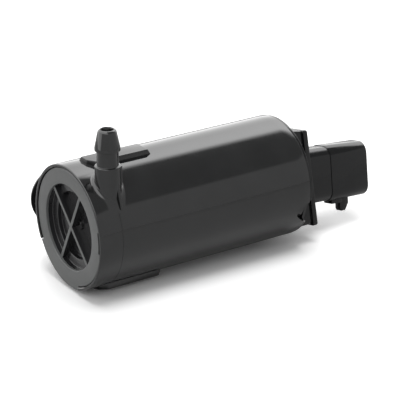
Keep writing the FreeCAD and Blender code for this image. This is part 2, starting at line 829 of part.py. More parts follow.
def connector_cap():
    """The rear cap: skirt, band, neck, plate and the tilted socket with its catch."""
    side = plate_half_width - neck_inset
    foot = plate_bottom + neck_inset / 2
    neck = Part.makeLoft([
        rounded_rectangle(band_rear - bite, -side, side, foot - neck_inset / 2, roof_height, plate_corner),
        rounded_rectangle(plate_front + bite, -side, side, foot, plate_top - slip, plate_corner),
    ], True, True)
    plate = Part.Face(rounded_rectangle(plate_front, -plate_half_width, plate_half_width,
                                        plate_bottom, plate_top, plate_corner))
    plate = plate.extrude(Vector(plate_thickness, 0, 0))
    neck = neck.common(rod(housing_r, skirt_front, plate_rear + over))
    block_end = turned(joined([neck, plate]), -connector_roll)
    root = -plate_thickness
    front_part = shroud_solid(shroud_length, shroud_width, shroud_height, shroud_corner, shroud_step_at, 0)
    lip = [edge for edge in front_part.Edges if edge.BoundBox.XMin > shroud_length - line_fit]
    front_part = front_part.makeChamfer(shroud_mouth_chamfer, lip)
    back_end = shroud_step_at + bite
    back_part = shroud_solid(back_end, shroud_width, shroud_height, shroud_corner, root, shroud_step)
    shroud = connector_frame(joined([back_part, front_part, latch()]))
    cap = joined([
        rod(skirt_r, skirt_front, housing_rear), rod(band_r, housing_rear, band_rear), block_end, shroud,
    ])
    cavity = rod(skirt_inner_r, skirt_front - over, housing_rear)
    groove_end = seal_groove_x + seal_groove_width
    groove = ring(skirt_r + over, skirt_r - seal_groove_depth, seal_groove_x, groove_end)
    socket_width = shroud_width - 2 * shroud_wall
    socket_height = shroud_height - 2 * shroud_wall
    socket = shroud_solid(shroud_length + over, socket_width, socket_height,
                          shroud_corner - shroud_wall, socket_floor, 0)
    cap = cap.cut(cavity).cut(groove).cut(connector_frame(socket))
    for side in (1, -1):
        cap = cap.cut(connector_frame(blade_box(bus_x - plate_rear, socket_floor + over, side, line_fit)))
    return cap


nodes = {
    "housing": housing(),
    "end_cap": end_cap(),
    "volute_insert": volute_insert(),
    "inlet_filter": inlet_filter(),
    "impeller": impeller(),
    "shaft_seal": shaft_seal(),
    "seal_washer": seal_washer(),
    "motor_can": motor_can(),
    "front_bearing": bearing(bearing_front),
    "rear_bearing": bearing(rear_bearing_front),
    "magnet_upper": magnet(0),
    "magnet_lower": magnet(180),
    "magnet_clip_left": magnet_clip(90),
    "magnet_clip_right": magnet_clip(270),
    "rotor_shaft": rotor_shaft(),
    "armature_core": armature_core(),
    "commutator_hub": commutator_hub(),
    "commutator_segments": commutator_segments(),
    "thrust_washer_front": thrust_washer(bearing_front + bearing_length + slip),
    "thrust_washer_rear": thrust_washer(rear_bearing_front - washer_thickness - slip),
    "end_bell": end_bell(),
    "connector_cap": connector_cap(),
    "cap_seal": cap_seal(),
}
for name, angle in (("upper", 0), ("lower", 180)):
    nodes["brush_" + name] = brush(angle)
    nodes["brush_arm_" + name] = brush_arm(angle)
    nodes["motor_terminal_" + name] = motor_terminal(angle)
    nodes["connector_blade_" + name] = connector_blade(1 if name == "upper" else -1)
for index in range(pole_count):
    nodes["winding_%d" % (index + 1)] = winding(index)

os.makedirs("parts", exist_ok=True)
for name, shape in nodes.items():
    shape.exportStep("parts/%s.step" % name)
    box = shape.BoundBox
    print("%-22s solids %d valid %s volume %8.1f  X %6.2f..%6.2f  Y %6.2f..%6.2f  Z %6.2f..%6.2f" % (
        name, len(shape.Solids), shape.isValid(), shape.Volume,
        box.XMin, box.XMax, box.YMin, box.YMax, box.ZMin, box.ZMax))
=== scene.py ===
import json
import math

import bmesh
import bpy
from mathutils import Matrix, Vector


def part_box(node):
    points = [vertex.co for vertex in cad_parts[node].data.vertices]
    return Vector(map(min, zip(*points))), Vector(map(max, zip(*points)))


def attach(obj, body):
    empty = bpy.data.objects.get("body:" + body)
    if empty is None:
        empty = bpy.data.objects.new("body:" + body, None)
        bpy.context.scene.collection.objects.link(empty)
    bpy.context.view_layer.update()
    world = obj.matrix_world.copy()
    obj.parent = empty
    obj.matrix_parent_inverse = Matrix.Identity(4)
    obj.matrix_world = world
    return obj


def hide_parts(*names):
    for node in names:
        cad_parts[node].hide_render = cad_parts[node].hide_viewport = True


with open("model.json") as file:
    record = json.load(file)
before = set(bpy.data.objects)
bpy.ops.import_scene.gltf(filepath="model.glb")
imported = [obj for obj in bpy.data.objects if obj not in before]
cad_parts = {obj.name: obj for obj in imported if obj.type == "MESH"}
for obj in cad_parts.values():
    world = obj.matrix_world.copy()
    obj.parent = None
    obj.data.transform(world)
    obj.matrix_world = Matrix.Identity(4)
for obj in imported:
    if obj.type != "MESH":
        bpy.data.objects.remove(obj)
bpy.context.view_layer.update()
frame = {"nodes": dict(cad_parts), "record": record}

mm = 0.001
mergeDistance = 0.004
nodes = frame["nodes"]
scene = bpy.context.scene
scene.view_settings.view_transform = "Standard"
housingLow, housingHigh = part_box("housing")
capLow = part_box("connector_cap")[0]
print("frame loaded with", len(nodes), "nodes")


# Modelling helpers. Shapes are given in millimetres.

def deselectAll():
    if bpy.context.object and bpy.context.object.mode != "OBJECT":
        bpy.ops.object.mode_set(mode="OBJECT")
    bpy.ops.object.select_all(action="DESELECT")


def editPiece(piece, mode):
    deselectAll()
    piece.select_set(True)
    bpy.context.view_layer.objects.active = piece
    bpy.ops.object.mode_set(mode="EDIT")
    bpy.ops.mesh.select_mode(type=mode)
    bpy.ops.mesh.select_all(action="DESELECT")
    return bmesh.from_edit_mesh(piece.data)


def outlineLoop(name, points, filled=False):
    deselectAll()
    fill = "NGON" if filled else "NOTHING"
    bpy.ops.mesh.primitive_circle_add(vertices=len(points), radius=mm, fill_type=fill)
    piece = bpy.context.object
    piece.name = name
    for vertex, point in zip(piece.data.vertices, points):
        vertex.co = Vector(point) * mm
    return piece


def roundCorners(piece, corners, segments=4):
    # corners are (point, radius) pairs of an outline that isn't spun yet
    for radius in sorted({radius for point, radius in corners}):
        edit = editPiece(piece, "VERT")
        for point in [Vector(p) * mm for p, r in corners if r == radius]:
            min(edit.verts, key=lambda v: (v.co - point).length).select = True
        bmesh.update_edit_mesh(piece.data)
        bpy.ops.mesh.bevel(offset=radius * mm, segments=segments, affect="VERTICES")
    deselectAll()


def cleanUp(piece):
    editPiece(piece, "VERT")
    bpy.ops.mesh.select_all(action="SELECT")
    bpy.ops.mesh.remove_doubles(threshold=mergeDistance * mm)
    bpy.ops.mesh.normals_make_consistent(inside=False)
    deselectAll()


def lathe(name, profile, steps, axis="X", centre=(0, 0, 0), rings=()):
    # profile rows are (along, radius) or (along, radius, rounding); rings are rows whose next edge is divided
    def place(along, radius):
        offset = {"X": (along, 0, radius), "Y": (radius, along, 0), "Z": (radius, 0, along)}[axis]
        return Vector(centre) + Vector(offset)

    piece = outlineLoop(name, [place(row[0], row[1]) for row in profile])
    if profile[0][1] == 0:
        edit = editPiece(piece, "EDGE")
        edit.edges.ensure_lookup_table()
        ends = {0, len(profile) - 1}
        for edge in edit.edges:
            edge.select = {v.index for v in edge.verts} == ends
        bmesh.update_edit_mesh(piece.data)
        bpy.ops.mesh.delete(type="EDGE")
        deselectAll()
    for row, cuts in rings:
        edit = editPiece(piece, "EDGE")
        for edge in edit.edges:
            edge.select = {v.index for v in edge.verts} == {row, row + 1}
        bmesh.update_edit_mesh(piece.data)
        bpy.ops.mesh.subdivide(number_cuts=cuts)
        deselectAll()
    roundCorners(piece, [(place(row[0], row[1]), row[2]) for row in profile if len(row) == 3])
    turn = {"X": (1, 0, 0), "Y": (0, 1, 0), "Z": (0, 0, 1)}[axis]
    editPiece(piece, "VERT")
    bpy.ops.mesh.select_all(action="SELECT")
    bpy.ops.mesh.spin(steps=steps, angle=2 * math.pi, center=Vector(centre) * mm, axis=turn)
    cleanUp(piece)
    return piece


def grow(name, loops):
    # a filled outline that is extruded from loop to loop, all with as many points
    piece = outlineLoop(name, loops[0], filled=True)
    for before, after in zip(loops, loops[1:]):
        edit = editPiece(piece, "FACE")
        far = max(edit.faces, key=lambda f: (len(f.verts) == len(loops[0]), f.index))
        far.select = True
        bmesh.update_edit_mesh(piece.data)
        bpy.ops.mesh.extrude_region_move(TRANSFORM_OT_translate={"value": (0, 0, 0)})
        edit = bmesh.from_edit_mesh(piece.data)
        starts = [Vector(p) * mm for p in before]
        for vertex in [v for v in edit.verts if v.select]:
            index = min(range(len(starts)), key=lambda i: (starts[i] - vertex.co).length)
            vertex.co = Vector(after[index]) * mm
        bmesh.update_edit_mesh(piece.data)
        deselectAll()
    editPiece(piece, "VERT")
    bpy.ops.mesh.select_all(action="SELECT")
    bpy.ops.mesh.normals_make_consistent(inside=False)
    deselectAll()
    return piece


def prism(name, points, along, rounding=0.0, segments=3):
    far = [Vector(p) + Vector(along) for p in points]
    piece = grow(name, [points, far])
    if rounding:
        editPiece(piece, "EDGE")
        bpy.ops.mesh.select_all(action="SELECT")
        bpy.ops.mesh.bevel(offset=rounding * mm, segments=segments, affect="EDGES")
        deselectAll()
    return piece


def combine(piece, tool, operation):
    deselectAll()
    bpy.context.view_layer.objects.active = piece
    piece.select_set(True)
    modifier = piece.modifiers.new("Combine", "BOOLEAN")
    modifier.operation = operation
    modifier.solver = "EXACT"
    modifier.object = tool
    bpy.ops.object.modifier_apply(modifier=modifier.name)
    bpy.data.objects.remove(tool)


def turnPiece(piece, matrix):
    piece.data.transform(matrix)


def rolled(angle):
    return Matrix.Rotation(math.radians(angle), 4, "X")


def smooth(piece, angle=30):
    deselectAll()
    piece.select_set(True)
    bpy.context.view_layer.objects.active = piece
    bpy.ops.object.shade_smooth_by_angle(angle=math.radians(angle))


def around(angle, radius, x):
    # angles run from the top towards the camera's side, as on the drawing of the part
    a = math.radians(angle)
    return (x, -radius * math.sin(a), radius * math.cos(a))


def arcPoints(radius, x, start, end, count):
    return [around(start + (end - start) * i / (count - 1), radius, x) for i in range(count)]


def sectorTool(name, outer, inner, x0, x1, start, end, count=24):
    points = arcPoints(outer, x0, start, end, count) + arcPoints(inner, x0, end, start, count)
    return prism(name, points, (x1 - x0, 0, 0))


# Housing

barrel = {
    "front": housingLow.x / mm, "rear": housingHigh.x / mm, "radius": 19.0, "bore": 17.2,
    "rimRadius": 18.1, "rimDepth": 3.0, "rimChamfer": 0.2, "edge": 0.32, "rearEdge": 0.12,
    "partingX": 7.2, "partingWidth": 0.24, "partingDepth": 0.12,
    "insertRear": 9.9, "galleryRadius": 15.6, "webFront": 14.8, "webRear": 17.4,
    "sealPocket": 6.6, "pocketFront": 12.2, "sealBore": 5.0, "shaftHole": 1.8, "bearingFront": 15.6, "bearing": 4.05,
    "beyond": 1, "steps": 192, "rings": 22,
}
ramp = {"front": 6.0, "length": 20.4, "height": 1.25, "flankY": -3.9, "crest": 5.9, "runOutSlope": 0.8,
        "corner": 1.7, "cornerReach": 2.7, "slant": 1.1, "slantSlope": 0.61, "keyTurn": 15.6, "edge": 0.2,
        "sink": 1.5}
nozzle = {"x": 6.95, "y": -11.5, "bore": 1.7, "bossRadius": 3.8, "bossTop": 21.8, "neckRadius": 3.2,
          "barbBase": 26.3, "barbRadius": 3.77, "barbLand": 0.6, "tipRadius": 2.6, "top": housingHigh.z / mm,
          "foot": 9.0, "fillet": 1.5, "steps": 96, "boreFoot": 7.0, "boreSteps": 64, "mouthDepth": 0.4,
          "mouthFlare": 0.5, "bossEdge": 0.3, "neckCrease": 0.15, "baseCrease": 0.1, "baseSlope": 0.15,
          "baseEdge": 0.12, "landRound": 0.3, "tipRound": 0.7, "ribEdge": 0.15,
          "keelWidth": 0.9, "keelReach": 1.5, "keelTop": 17.8, "keelDrop": 8.3, "keelSink": 2.5,
          "finSink": 2.4, "finReach": 4.35, "finFoot": 13.65, "finTop": 20.9}
spigot = {"x": 10.0, "bore": 4.6, "neckRadius": 6.5, "lipRadius": 9.2, "lipThickness": 1.1, "lipLand": 0.12,
          "lipTaper": 0.35, "lipEdge": 0.12, "mouthEdge": 0.15, "crease": 0.25, "root": 16.0,
          "reach": housingHigh.y / mm, "seat": 18.2, "throat": 3.9, "fillet": 0.8, "steps": 96,
          "boreFoot": 14.0, "boreSteps": 80, "mouthDepth": 0.3, "mouthFlare": 0.6}
notch = {"angle": 108.0, "depth": 3.9, "floor": 2.6, "left": 0.4 * 8.6, "right": 0.6 * 8.6, "innerRadius": 14,
         "reach": 8}
fillet = {"sink": 1.2, "overlap": 0.6, "lift": 0.02, "arcSteps": 8}
tabAngles = (164.0, 240.0)


def barrelHeight(across):
    # height of the barrel's surface over the axis plane, at a distance across it
    return math.sqrt(max(barrel["radius"] ** 2 - across ** 2, 0.0))


def makeRamp():
    r = ramp
    crest = barrel["radius"] + r["height"]
    foot = barrel["radius"] - r["sink"]
    drop = crest - foot
    x0, x1 = r["front"], r["front"] + r["length"]
    topX = x1 - r["slant"]
    footX = topX + drop * r["slantSlope"]
    topY = r["flankY"] + r["crest"]
    footY = topY + drop * r["runOutSlope"]
    cornerY = r["flankY"] + r["cornerReach"]
    low = [(x0 + r["corner"], r["flankY"], foot), (footX, r["flankY"], foot), (footX, footY, foot),
           (x0, footY, foot), (x0, cornerY, foot)]
    high = [(x0 + r["corner"], r["flankY"], crest), (topX, r["flankY"], crest), (topX, topY, crest),
            (x0, topY, crest), (x0, cornerY, crest)]
    piece = grow("ramp", [low, high])
    editPiece(piece, "EDGE")
    bpy.ops.mesh.select_all(action="SELECT")
    bpy.ops.mesh.bevel(offset=r["edge"] * mm, segments=3, affect="EDGES")
    deselectAll()
    return piece


def filletSkirt(name, radius, size, centre, axis, steps):
    # a concave flare round a nozzle, draped on the barrel
    sink, lift, count = fillet["sink"], fillet["lift"], fillet["arcSteps"]
    rows = [(-sink, radius - fillet["overlap"]), (size + lift, radius - fillet["overlap"])]
    for i in range(count + 1):
        turn = math.radians(90 * i / count)
        rows.append((size * (1 - math.sin(turn)) + lift * math.cos(turn), radius + size * (1 - math.cos(turn))))
    rows.append((-sink, radius + size))
    piece = lathe(name, rows, steps, axis, centre)
    for vertex in piece.data.vertices:
        if axis == "Z":
            vertex.co.z += barrelHeight(vertex.co.y / mm) * mm
        else:
            vertex.co.y += barrelHeight(vertex.co.z / mm) * mm
    return piece


def makeNozzle():
    n = nozzle
    rows = [(n["foot"], 0), (n["foot"], n["bossRadius"]), (n["bossTop"], n["bossRadius"], n["bossEdge"]),
            (n["bossTop"], n["neckRadius"], n["neckCrease"]), (n["barbBase"], n["neckRadius"], n["baseCrease"]),
            (n["barbBase"] + n["baseSlope"], n["barbRadius"], n["baseEdge"]),
            (n["barbBase"] + 2 * n["baseSlope"] + n["barbLand"], n["barbRadius"], n["landRound"]),
            (n["top"], n["tipRadius"], n["tipRound"]), (n["top"], 0)]
    piece = lathe("nozzle", rows, n["steps"], "Z", (n["x"], n["y"], 0))
    x, y = n["x"], n["y"]
    low = n["keelTop"] - n["keelDrop"]
    keel = prism("keel", [
        (x + n["keelWidth"], y - n["bossRadius"] + n["keelWidth"], n["keelTop"]),
        (x + n["keelWidth"], y - n["bossRadius"] - n["keelReach"], low),
        (x + n["keelWidth"], y - n["keelSink"], low), (x + n["keelWidth"], y - n["keelSink"], n["keelTop"])],
        (n["keelWidth"], 0, 0), n["ribEdge"], 2)
    combine(piece, keel, "UNION")
    fin = prism("fin", [
        (x + n["finSink"], y - n["keelWidth"], n["finFoot"]), (x + n["finReach"], y - n["keelWidth"], n["finFoot"]),
        (x + n["finReach"], y, n["finFoot"]), (x + n["finSink"], y, n["finFoot"])],
        (0, 0, n["finTop"] - n["finFoot"]), n["ribEdge"], 2)
    combine(piece, fin, "UNION")
    return piece


def makeSpigot():
    s = spigot
    lip = s["reach"] - s["lipThickness"]
    rows = [(s["root"], 0), (s["root"], s["neckRadius"]), (lip, s["neckRadius"], s["crease"]),
            (lip, s["lipRadius"], s["lipEdge"]), (lip + s["lipLand"], s["lipRadius"]),
            (s["reach"], s["lipRadius"] - s["lipTaper"], s["mouthEdge"]), (s["reach"], 0)]
    return lathe("spigot", rows, s["steps"], "Y", (s["x"], 0, 0))


def insideProfile():
    # rim, volute room, seal pocket and bearing seat in the web, and the motor's bore
    b = barrel
    flare, before, behind = b["rimChamfer"], b["front"] - b["beyond"], b["rear"] + b["beyond"]
    return [(before, 0), (before, b["rimRadius"] + flare), (b["front"], b["rimRadius"] + flare),
            (b["front"] + flare, b["rimRadius"]), (b["rimDepth"], b["rimRadius"]),
            (b["rimDepth"], b["bore"]), (b["insertRear"], b["bore"]), (b["insertRear"], b["galleryRadius"]),
            (b["webFront"], b["galleryRadius"]), (b["webFront"], b["sealPocket"]),
            (b["pocketFront"], b["sealPocket"]), (b["pocketFront"], b["sealBore"]),
            (b["webFront"], b["sealBore"]), (b["webFront"], b["shaftHole"]), (b["bearingFront"], b["shaftHole"]),
            (b["bearingFront"], b["bearing"]), (b["webRear"], b["bearing"]), (b["webRear"], b["bore"]),
            (behind, b["bore"]), (behind, 0)]


def cutNotch(shell):
    # a notch with slanted flanks in the rear edge, just below the middle, on the camera's side
    x, depth = barrel["rear"], notch["depth"]
    half, left, right, low = notch["floor"] / 2, notch["left"], notch["right"], notch["innerRadius"]
    points = [(x + barrel["beyond"], left, low), (x - depth, half, low), (x - depth, -half, low),
              (x - depth / 4, depth / 4 - right, low), (x + barrel["beyond"], -right, low)]
    cutter = prism("notchCutter", points, (0, 0, notch["reach"]))
    turnPiece(cutter, rolled(notch["angle"]))
    combine(shell, cutter, "DIFFERENCE")


def makeHousing():
    b = barrel
    p, w, d = b["partingX"], b["partingWidth"] / 2, b["partingDepth"]
    rows = [(b["front"], 0), (b["front"], b["radius"], b["edge"]),
            (p - w, b["radius"]), (p, b["radius"] - d), (p + w, b["radius"]),
            (b["rear"], b["radius"], b["rearEdge"]), (b["rear"], 0)]
    shell = lathe("housingShell", rows, b["steps"], rings=((4, b["rings"]),))
    skirt = filletSkirt("bossFillet", nozzle["bossRadius"], nozzle["fillet"],
                        (nozzle["x"], nozzle["y"], 0), "Z", nozzle["steps"])
    combine(shell, skirt, "UNION")
    combine(shell, makeNozzle(), "UNION")
    neckSkirt = filletSkirt("spigotFillet", spigot["neckRadius"], spigot["fillet"],
                            (spigot["x"], 0, 0), "Y", spigot["steps"])
    combine(shell, neckSkirt, "UNION")
    combine(shell, makeSpigot(), "UNION")
    upper = makeRamp()
    lower = makeRamp()
    turnPiece(lower, rolled(-ramp["keyTurn"]) @ Matrix.Scale(-1, 4, (0, 0, 1)))
    cleanUp(lower)
    combine(shell, upper, "UNION")
    combine(shell, lower, "UNION")
    combine(shell, lathe("inside", insideProfile(), b["steps"]), "DIFFERENCE")
    tabGap = sectorTool("tabGap", b["radius"] + b["beyond"], b["bore"], b["front"] - b["beyond"], b["rimDepth"],
                        *tabAngles)
    combine(shell, tabGap, "DIFFERENCE")
    cutNotch(shell)
    bore, top, flare = nozzle["bore"], nozzle["top"], nozzle["mouthDepth"]
    outlet = [(nozzle["boreFoot"], 0), (nozzle["boreFoot"], bore), (top - flare, bore),
              (top + flare, bore + nozzle["mouthFlare"]), (top + flare, 0)]
    combine(shell, lathe("outletBore", outlet, nozzle["boreSteps"], "Z", (nozzle["x"], nozzle["y"], 0)), "DIFFERENCE")
    bore, mouth, flare = spigot["bore"], spigot["reach"], spigot["mouthDepth"]
    inlet = [(spigot["boreFoot"], 0), (spigot["boreFoot"], spigot["throat"]), (spigot["seat"], spigot["throat"]),
             (spigot["seat"], bore), (mouth - flare, bore), (mouth + flare, bore + spigot["mouthFlare"]),
             (mouth + flare, 0)]
    combine(shell, lathe("inletBore", inlet, spigot["boreSteps"], "Y", (spigot["x"], 0, 0)), "DIFFERENCE")
    cleanUp(shell)
    smooth(shell, 32)
    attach(shell, "casing")
    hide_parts("housing")
    print("housing modelled:", len(shell.data.polygons), "faces")
    return shell


# End cap

lid = {"rimRadius": 17.86, "plugRadius": 17.15, "plugRear": 5.2, "flange": 2.95,
       "recess": 13.1, "ledge": 2.35, "ledgeInner": 10.25, "floor": 3.75, "boss": 2.0, "bossHeight": 0.6,
       "bossEdge": 0.15, "crease": 0.2, "edge": 0.18, "rimEdge": 0.3, "plugEdge": 0.3, "steps": 192,
       "barWidth": 1.1, "barDrop": 0.75, "barSink": 0.3, "barOverlap": 0.4, "barEdge": 0.12,
       "barAngles": (-44.0, 27.0), "tabOuter": 18.95, "tabInner": 16.5, "tabGap": 0.5,
       "slit": (76.0, 98.0), "slitWidth": 0.9, "slitDepth": 2.0, "slitOuter": 19.5}


def makeEndCap():
    c = lid
    rows = [(c["floor"] - c["bossHeight"], 0), (c["floor"] - c["bossHeight"], c["boss"], c["bossEdge"]),
            (c["floor"], c["boss"]), (c["floor"], c["ledgeInner"], c["crease"]),
            (c["ledge"], c["ledgeInner"], c["crease"]), (c["ledge"], c["recess"], c["crease"]),
            (0, c["recess"], c["edge"]), (0, c["rimRadius"], c["rimEdge"]), (c["flange"], c["rimRadius"]),
            (c["flange"], c["plugRadius"]), (c["plugRear"], c["plugRadius"], c["plugEdge"]), (c["plugRear"], 0)]
    cap = lathe("endCapMoulding", rows, c["steps"])
    half = c["barWidth"] / 2
    reach = c["recess"] + c["barOverlap"]
    sunk = c["floor"] + c["barSink"]
    for angle in c["barAngles"]:
        bar = prism("bar", [(c["barDrop"], -half, -reach), (sunk, -half, -reach), (sunk, half, -reach),
                            (c["barDrop"], half, -reach)], (0, 0, 2 * reach), c["barEdge"], 2)
        turnPiece(bar, rolled(angle))
        combine(cap, bar, "UNION")
    tab = sectorTool("tab", c["tabOuter"], c["tabInner"], 0, c["flange"], tabAngles[0] + c["tabGap"],
                     tabAngles[1] - c["tabGap"])
    combine(cap, tab, "UNION")
    slit = sectorTool("slit", c["slitOuter"], c["rimRadius"] - c["slitWidth"], -1, c["slitDepth"], *c["slit"])
    combine(cap, slit, "DIFFERENCE")
    cleanUp(cap)
    smooth(cap, 30)
    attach(cap, "casing")
    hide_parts("end_cap")
    print("end cap modelled:", len(cap.data.polygons), "faces")
    return cap


# Connector cap

rear = {"skirtFront": capLow.x / mm, "skirt": 17.15, "skirtInner": 15.4, "skirtEdge": 0.3, "groove": 66.0,
        "grooveWidth": 1.5, "grooveDepth": 1.1, "band": 18.9, "bandLength": 0.9, "neckLength": 4.9,
        "neckSink": 1.0, "neckOverlap": 0.3, "neckFall": 0.1, "plateThickness": 1.7, "frontEdge": 0.06,
        "rearEdge": 0.12, "gapMargin": 0.5, "gapHeight": 4, "roll": 13.0, "tilt": 4.0, "steps": 192}
plate = {"half": 10.2, "top": 13.5, "bottom": -16.8, "footRise": 0.6, "corner": 0.8, "edge": 0.25, "edgeMiddle": 0.3,
         "roof": 14.6, "neckInset": 0.8}
shroud = {"side": -8.4, "width": 11.5, "height": 18.0, "mid": -2.1, "length": 23.5, "corner": 4.0, "wall": 1.4,
          "draft": 0.9, "step": 0.25, "stepAt": 9.0, "stepBefore": 0.12, "stepLeft": 0.04, "stepAfter": 0.1,
          "sink": 1.5, "outerEdge": 0.45, "innerEdge": 0.25, "floor": 4.5, "leastCorner": 0.3, "cornerPoints": 9}
catch = {"at": 14.7, "length": 3.4, "height": 4.0, "width": 2.6, "nose": 0.72, "ramp": 0.4, "flat": 1.6,
         "back": 1.7, "edge": 0.18, "sunk": 0.8, "rail": 3.8, "railWidth": 4.2, "railHeight": 1.1,
         "railEdge": 0.15, "railOverlap": 0.3}


def roundedRectangle(x, y0, y1, z0, z1, radii, count):
    # corners run from the upper +Y one round through -Y; radii are (upper, lower)
    points = []
    corners = [(y1, z1, -1, -1, 0, radii[0]), (y0, z1, 1, -1, 90, radii[0]),
               (y0, z0, 1, 1, 180, radii[1]), (y1, z0, -1, 1, 270, radii[1])]
    for y, z, sideY, sideZ, start, radius in corners:
        for i in range(count):
            a = math.radians(start + 90 * i / (count - 1))
            points.append((x, y + sideY * radius + radius * math.cos(a), z + sideZ * radius + radius * math.sin(a)))
    return points


def shroudLoop(x, inset):
    s = shroud
    shrink = math.tan(math.radians(s["draft"])) * x + inset
    middle = s["side"] + s["width"] / 2
    halfWidth = s["width"] / 2 - shrink
    halfHeight = s["height"] / 2 - shrink
    corner = max(s["corner"] - shrink, s["leastCorner"])
    return roundedRectangle(x, middle - halfWidth, middle + halfWidth, s["mid"] - halfHeight, s["mid"] + halfHeight,
                            (corner, corner), s["cornerPoints"])


def makeShroud():
    s = shroud
    outer, inner = s["outerEdge"], s["innerEdge"]
    stations = [(-s["sink"], s["step"]), (s["stepAt"] - s["stepBefore"], s["step"]),
                (s["stepAt"], s["stepLeft"]), (s["stepAt"] + s["stepAfter"], 0)]
    for i in range(5):
        a = math.radians(90 * i / 4)
        stations.append((s["length"] - outer * (1 - math.sin(a)), outer * (1 - math.cos(a))))
    for i in range(4):
        a = math.radians(90 * i / 3)
        stations.append((s["length"] - inner * (1 - math.cos(a)), s["wall"] - inner * (1 - math.sin(a))))
    stations.append((s["floor"], s["wall"]))
    return grow("shroud", [shroudLoop(x, inset) for x, inset in stations])


def makeCatch():
    c = catch
    low = shroud["mid"] - shroud["height"] / 2
    top = low + shroud["wall"] * c["sunk"]
    tip = low - c["height"]
    middle = shroud["side"] + shroud["width"] / 2
    end = c["at"] + c["length"]
    y = middle - c["width"] / 2
    wedge = prism("wedge", [(c["at"], y, top), (c["at"], y, tip + c["nose"]), (c["at"] + c["ramp"], y, tip),
                            (c["at"] + c["ramp"] + c["flat"], y, tip), (end, y, low - c["back"]), (end, y, top)],
                  (0, c["width"], 0), c["edge"], 2)
    y = middle - c["railWidth"] / 2
    rail = prism("rail", [(c["at"] - c["rail"], y, top), (c["at"] - c["rail"], y, low - c["railHeight"]),
                          (c["at"] + c["railOverlap"], y, low - c["railHeight"]),
                          (c["at"] + c["railOverlap"], y, top)],
                 (0, c["railWidth"], 0), c["railEdge"], 2)
    combine(rail, wedge, "UNION")
    return rail


def makeConnectorCap():
    r = rear
    bandFront = barrel["rear"]
    bandRear = bandFront + r["bandLength"]
    plateFront = bandRear + r["neckLength"]
    plateRear = plateFront + r["plateThickness"]
    g0, g1 = r["groove"], r["groove"] + r["grooveWidth"]
    floor = r["skirt"] - r["grooveDepth"]
    rows = [(bandFront, 0), (bandFront, r["skirtInner"]), (r["skirtFront"], r["skirtInner"]),
            (r["skirtFront"], r["skirt"], r["skirtEdge"]), (g0, r["skirt"]), (g0, floor), (g1, floor),
            (g1, r["skirt"]), (bandFront, r["skirt"]), (bandFront, r["band"], r["frontEdge"]),
            (bandRear, r["band"], r["rearEdge"]), (bandRear, 0)]
    cap = lathe("connectorMoulding", rows, r["steps"])
    # the housing's notch goes on through the band, down to the skirt
    left, right, low, high = notch["left"], notch["right"], bandFront - r["gapMargin"], bandRear + r["gapMargin"]
    gap = prism("bandGap", [(low, left, r["skirt"]), (high, left, r["skirt"]), (high, -right, r["skirt"]),
                            (low, -right, r["skirt"])], (0, 0, r["gapHeight"]))
    turnPiece(gap, rolled(notch["angle"]))
    combine(cap, gap, "DIFFERENCE")
    side = plate["half"] - plate["neckInset"]
    foot = plate["bottom"] + plate["footRise"]
    corners = (plate["corner"], plate["corner"])
    neckLoops = [
        roundedRectangle(bandRear - r["neckSink"], -side, side, foot, plate["roof"], corners, 5),
        roundedRectangle(plateFront + r["neckOverlap"], -side, side, foot, plate["top"] - r["neckFall"], corners, 5)]
    neck = grow("neck", neckLoops)
    e, middle = plate["edge"], plate["edge"] * plate["edgeMiddle"]
    plateLoops = []
    for x, inset in ((plateFront, e), (plateFront + middle, middle), (plateFront + e, 0),
                     (plateRear - e, 0), (plateRear - middle, middle), (plateRear, e)):
        plateLoops.append(roundedRectangle(x, inset - plate["half"], plate["half"] - inset, plate["bottom"] + inset,
                                           plate["top"] - inset, corners, 6))
    board = grow("plate", plateLoops)
    combine(board, neck, "UNION")
    turnPiece(board, rolled(-r["roll"]))
    combine(cap, board, "UNION")
    place = rolled(-r["roll"]) @ Matrix.Translation((plateRear * mm, 0, 0))
    place = place @ Matrix.Rotation(math.radians(r["tilt"]), 4, "Y")
    socket = makeShroud()
    turnPiece(socket, place)
    combine(cap, socket, "UNION")
    hook = makeCatch()
    turnPiece(hook, place)
    combine(cap, hook, "UNION")
    cleanUp(cap)
    smooth(cap, 30)
    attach(cap, "casing")
    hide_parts("connector_cap")
    print("connector cap modelled:", len(cap.data.polygons), "faces")
    return cap


# Materials, all on object coordinates

noiseSpan = (0.3, 0.7)  # where most of a noise's values lie
# what a finish has unless its own row in finishes says otherwise
moulded = {"driftScale": 90, "glossScale": 260, "skinDepth": 0.02, "waveScale": 40, "wave": 0.15, "waveDepth": 0.05,
           "ior": 1.5}
worked = {"stainScale": 160, "markScale": 900, "stretch": (0.05, 1, 1), "mark": 0.3, "markDepth": 0.02,
          "metallic": 1.0}
pressed = {"grain": 0.4, "grainDepth": 0.03, "metallic": 0.0}


def newMaterial(name):
    material = bpy.data.materials.new(name)
    material.use_nodes = True
    tree = material.node_tree
    return material, tree, tree.nodes["Principled BSDF"]


def noiseNode(tree, scale, detail, roughness=0.5, stretch=(1, 1, 1)):
    coords = tree.nodes.new("ShaderNodeTexCoord")
    mapping = tree.nodes.new("ShaderNodeMapping")
    mapping.inputs["Scale"].default_value = stretch
    noise = tree.nodes.new("ShaderNodeTexNoise")
    noise.inputs["Scale"].default_value = scale
    noise.inputs["Detail"].default_value = detail
    noise.inputs["Roughness"].default_value = roughness
    tree.links.new(coords.outputs["Object"], mapping.inputs["Vector"])
    tree.links.new(mapping.outputs["Vector"], noise.inputs["Vector"])
    return noise


def rangeNode(tree, source, low, high):
    node = tree.nodes.new("ShaderNodeMapRange")
    node.inputs["From Min"].default_value = noiseSpan[0]
    node.inputs["From Max"].default_value = noiseSpan[1]
    node.inputs["To Min"].default_value = low
    node.inputs["To Max"].default_value = high
    tree.links.new(source, node.inputs["Value"])
    return node.outputs["Result"]


